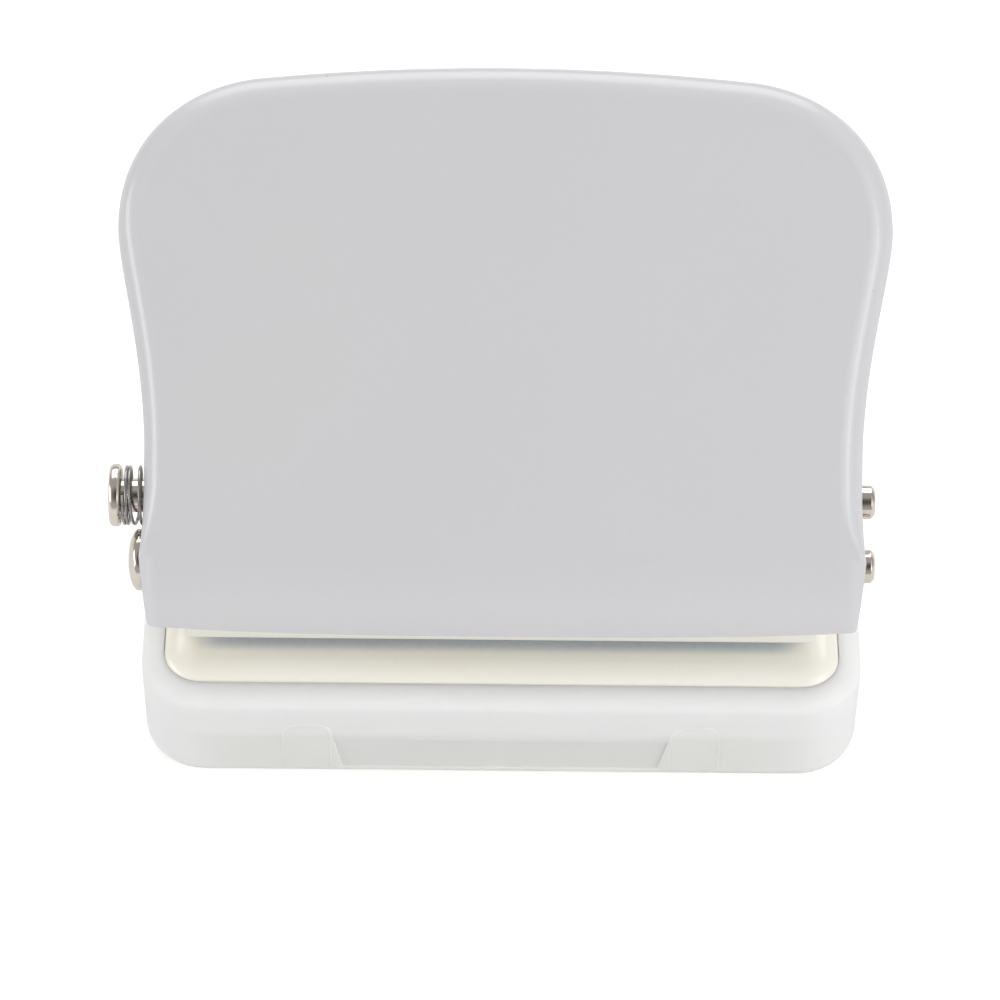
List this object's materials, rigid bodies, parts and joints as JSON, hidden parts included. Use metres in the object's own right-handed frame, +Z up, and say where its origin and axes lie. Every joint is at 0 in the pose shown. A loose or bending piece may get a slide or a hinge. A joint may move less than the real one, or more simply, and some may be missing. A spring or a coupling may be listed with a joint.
{
  "type": "five-hole desk punch",
  "caption": "Desk hole punch with a wide rolled-edge palm lever, spring-loaded lock knob, punch pins under a folded bridge, pressed base plate and clip-on chip tray.",
  "frame": {"origin": "middle of the bounding box at rest, on the table", "axes": "+X along the shafts, away from the lock knob; +Y from the paper slot to the lever's free end; +Z up"},
  "size_m": [0.103, 0.067, 0.0788],
  "materials": {
    "grey_paint": "gloss light grey paint",
    "cream_paint": "satin cream paint",
    "nickel": "bright nickel plating",
    "tool_steel": "ground steel",
    "spring_steel": "drawn spring wire",
    "frosted_plastic": "frosted translucent plastic"
  },
  "bodies": {
    "tray": {"chip_tray": "frosted_plastic"},
    "chassis": {"base_plate": "cream_paint", "die_plate": "tool_steel", "bridge_frame": "cream_paint", "frame_rivet_1": "tool_steel", "frame_rivet_2": "tool_steel", "frame_rivet_3": "tool_steel", "pivot_bush_left": "nickel", "pivot_bush_right": "nickel", "punch_spring_1": "spring_steel", "punch_spring_2": "spring_steel", "punch_spring_3": "spring_steel", "punch_spring_4": "spring_steel", "punch_spring_5": "spring_steel"},
    "lever": {"lever_cover": "grey_paint", "pivot_shaft": "nickel", "pivot_clip": "spring_steel", "lock_spring": "spring_steel"},
    "lock": {"lock_shaft": "nickel", "lock_clip": "spring_steel"},
    "punch_1": {"punch_pin_1": "tool_steel", "punch_clip_1": "spring_steel"},
    "punch_2": {"punch_pin_2": "tool_steel", "punch_clip_2": "spring_steel"},
    "punch_3": {"punch_pin_3": "tool_steel", "punch_clip_3": "spring_steel"},
    "punch_4": {"punch_pin_4": "tool_steel", "punch_clip_4": "spring_steel"},
    "punch_5": {"punch_pin_5": "tool_steel", "punch_clip_5": "spring_steel"}
  },
  "joints": [
    {"name": "chassis_lift", "type": "slide", "parent": "tray", "child": "chassis", "axis": [0, 0, 1], "range_m": [0, 0.016]},
    {"name": "lever_hinge", "type": "hinge", "parent": "chassis", "child": "lever", "pos_m": [0.0005, -0.0221, 0.0325], "axis": [1, 0, 0], "range_deg": [-40, 0], "stiffness_Nm_per_rad": 0.25, "springref_deg": 28.65},
    {"name": "lock_slide", "type": "slide", "parent": "lever", "child": "lock", "axis": [1, 0, 0], "range_m": [0, 0.0013], "stiffness_N_per_m": 400, "springref_m": -0.002, "deforming": ["lock_spring"]},
    {"name": "punch_slide_1", "type": "slide", "parent": "chassis", "child": "punch_1", "axis": [0, 0, 1], "range_m": [-0.0055, 0], "deforming": ["punch_spring_1"]},
    {"name": "punch_slide_2", "type": "slide", "parent": "chassis", "child": "punch_2", "axis": [0, 0, 1], "range_m": [-0.0055, 0], "deforming": ["punch_spring_2"]},
    {"name": "punch_slide_3", "type": "slide", "parent": "chassis", "child": "punch_3", "axis": [0, 0, 1], "range_m": [-0.0055, 0], "deforming": ["punch_spring_3"]},
    {"name": "punch_slide_4", "type": "slide", "parent": "chassis", "child": "punch_4", "axis": [0, 0, 1], "range_m": [-0.0055, 0], "deforming": ["punch_spring_4"]},
    {"name": "punch_slide_5", "type": "slide", "parent": "chassis", "child": "punch_5", "axis": [0, 0, 1], "range_m": [-0.0055, 0], "deforming": ["punch_spring_5"]}
  ],
  "couplings": [
    {"joint": "punch_slide_1", "follows": "lever_hinge", "m_per_rad": 0.00774},
    {"joint": "punch_slide_2", "follows": "lever_hinge", "m_per_rad": 0.00774},
    {"joint": "punch_slide_3", "follows": "lever_hinge", "m_per_rad": 0.00774},
    {"joint": "punch_slide_4", "follows": "lever_hinge", "m_per_rad": 0.00774},
    {"joint": "punch_slide_5", "follows": "lever_hinge", "m_per_rad": 0.00774}
  ]
}
